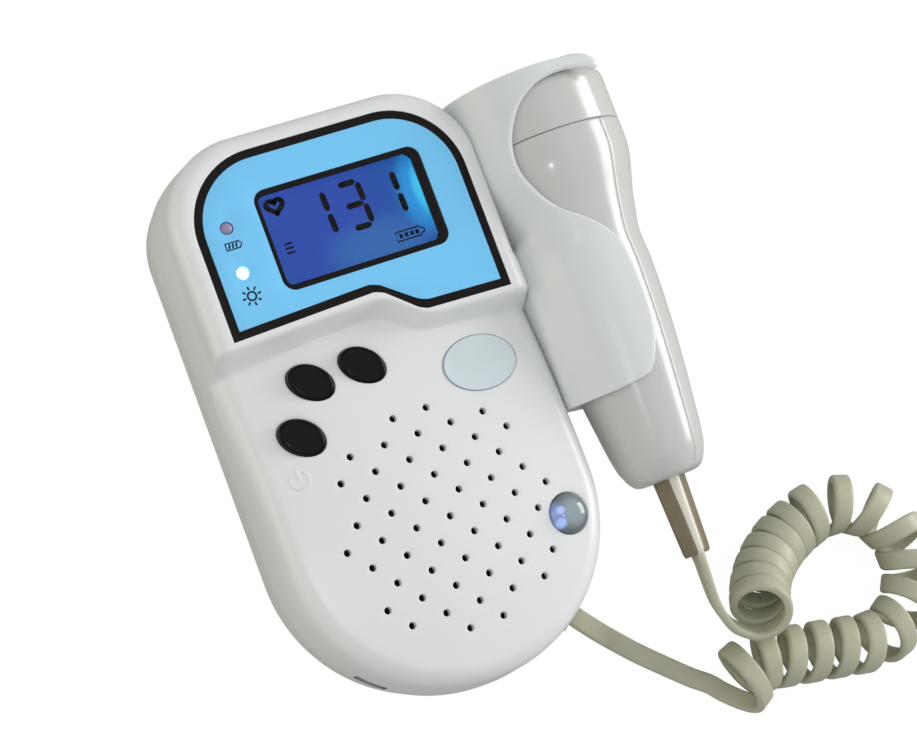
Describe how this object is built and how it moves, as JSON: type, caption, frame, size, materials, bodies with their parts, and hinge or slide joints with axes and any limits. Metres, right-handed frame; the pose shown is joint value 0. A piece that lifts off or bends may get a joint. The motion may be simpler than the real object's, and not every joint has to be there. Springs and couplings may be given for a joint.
{
  "type": "fetal doppler monitor",
  "caption": "Pocket fetal doppler: hand unit with display, buttons and speaker grille, side holster, lift-out probe and flat curly cord.",
  "frame": {"origin": "middle of the hand unit's flat back, which lies on the surface", "axes": "+X towards the holster, +Y towards the display end, +Z out of the face"},
  "size_m": [0.1636, 0.1718, 0.0435],
  "materials": {
    "shell_white": "moulded, satin gloss",
    "shell_back": "moulded, fine texture",
    "holster_grey": "moulded, satin gloss",
    "steel": "plated",
    "cell_skin": "plain wrap",
    "ink_black": "printed, glossy",
    "label_blue": "printed film",
    "clear": "clear",
    "display_blue": "lit from behind",
    "white_plastic": "diffuser",
    "strip_rubber": "striped",
    "lamp_off": "tinted clear",
    "lamp_on": "lit",
    "button_black": "glossy",
    "switch_body": "plain",
    "badge_clear": "domed clear film",
    "lens_blue": "tinted clear",
    "lamp_blue": "lamp",
    "board_green": "solder mask",
    "chip_black": "plain",
    "foam_black": "open cloth and foam",
    "basket_grey": "plated",
    "paper_black": "paper",
    "boot_beige": "soft",
    "face_grey": "cast resin",
    "crystal": "ceramic",
    "cord_beige": "soft jacket, flat section"
  },
  "bodies": {
    "unit": {"front_shell": "shell_white", "back_shell": "shell_back", "case_screw_1": "steel", "case_screw_2": "steel", "case_screw_3": "steel", "case_screw_4": "steel", "case_screw_5": "steel", "battery_1": "cell_skin", "battery_2": "cell_skin", "battery_3": "cell_skin", "contact_left": "steel", "contact_right": "steel", "label_border": "ink_black", "label_panel": "label_blue", "display_frame": "ink_black", "display_window": "clear", "display_glass": "display_blue", "backlight": "white_plastic", "display_strips": "strip_rubber", "lamp_upper": "lamp_off", "lamp_lower": "lamp_on", "switch_1": "switch_body", "switch_2": "switch_body", "switch_3": "switch_body", "badge": "badge_clear", "pulse_lens": "lens_blue", "pulse_lamp": "lamp_blue", "main_board": "board_green", "board_parts": "chip_black", "speaker_gasket": "foam_black", "speaker_cloth": "foam_black", "speaker_frame": "basket_grey", "speaker_cone": "paper_black", "speaker_magnet": "steel", "charge_socket": "chip_black", "socket_board": "board_green", "cord_gland": "boot_beige", "holster": "holster_grey", "holster_screw_1": "steel", "holster_screw_2": "steel", "holster_screw_3": "steel", "probe_lead": "cord_beige", "coil_cord": "cord_beige", "unit_lead": "cord_beige"},
    "door": {"battery_door": "shell_back"},
    "key_mode": {"button_mode": "button_black"},
    "key_volume": {"button_volume": "button_black"},
    "key_power": {"button_power": "button_black"},
    "probe": {"probe_cap": "shell_white", "probe_face": "face_grey", "crystal": "crystal", "probe_shell_front": "shell_white", "probe_shell_back": "shell_white", "probe_board": "board_green", "probe_boot": "boot_beige"}
  },
  "joints": [
    {"name": "probe_pull", "type": "slide", "parent": "unit", "child": "probe", "axis": [1, 0, 0], "range_m": [0, 0.03], "deforming": ["probe_lead"]},
    {"name": "battery_door_hinge", "type": "hinge", "parent": "unit", "child": "door", "pos_m": [0, 0.0096, 0.0009], "axis": [1, 0, 0], "range_deg": [-50, 0]},
    {"name": "press_mode", "type": "slide", "parent": "unit", "child": "key_mode", "axis": [0, 0, -1], "range_m": [0, 0.0008], "stiffness_N_per_m": 900, "springref_m": -0.0003},
    {"name": "press_volume", "type": "slide", "parent": "unit", "child": "key_volume", "axis": [0, 0, -1], "range_m": [0, 0.0008], "stiffness_N_per_m": 900, "springref_m": -0.0003},
    {"name": "press_power", "type": "slide", "parent": "unit", "child": "key_power", "axis": [0, 0, -1], "range_m": [0, 0.0008], "stiffness_N_per_m": 900, "springref_m": -0.0003}
  ]
}
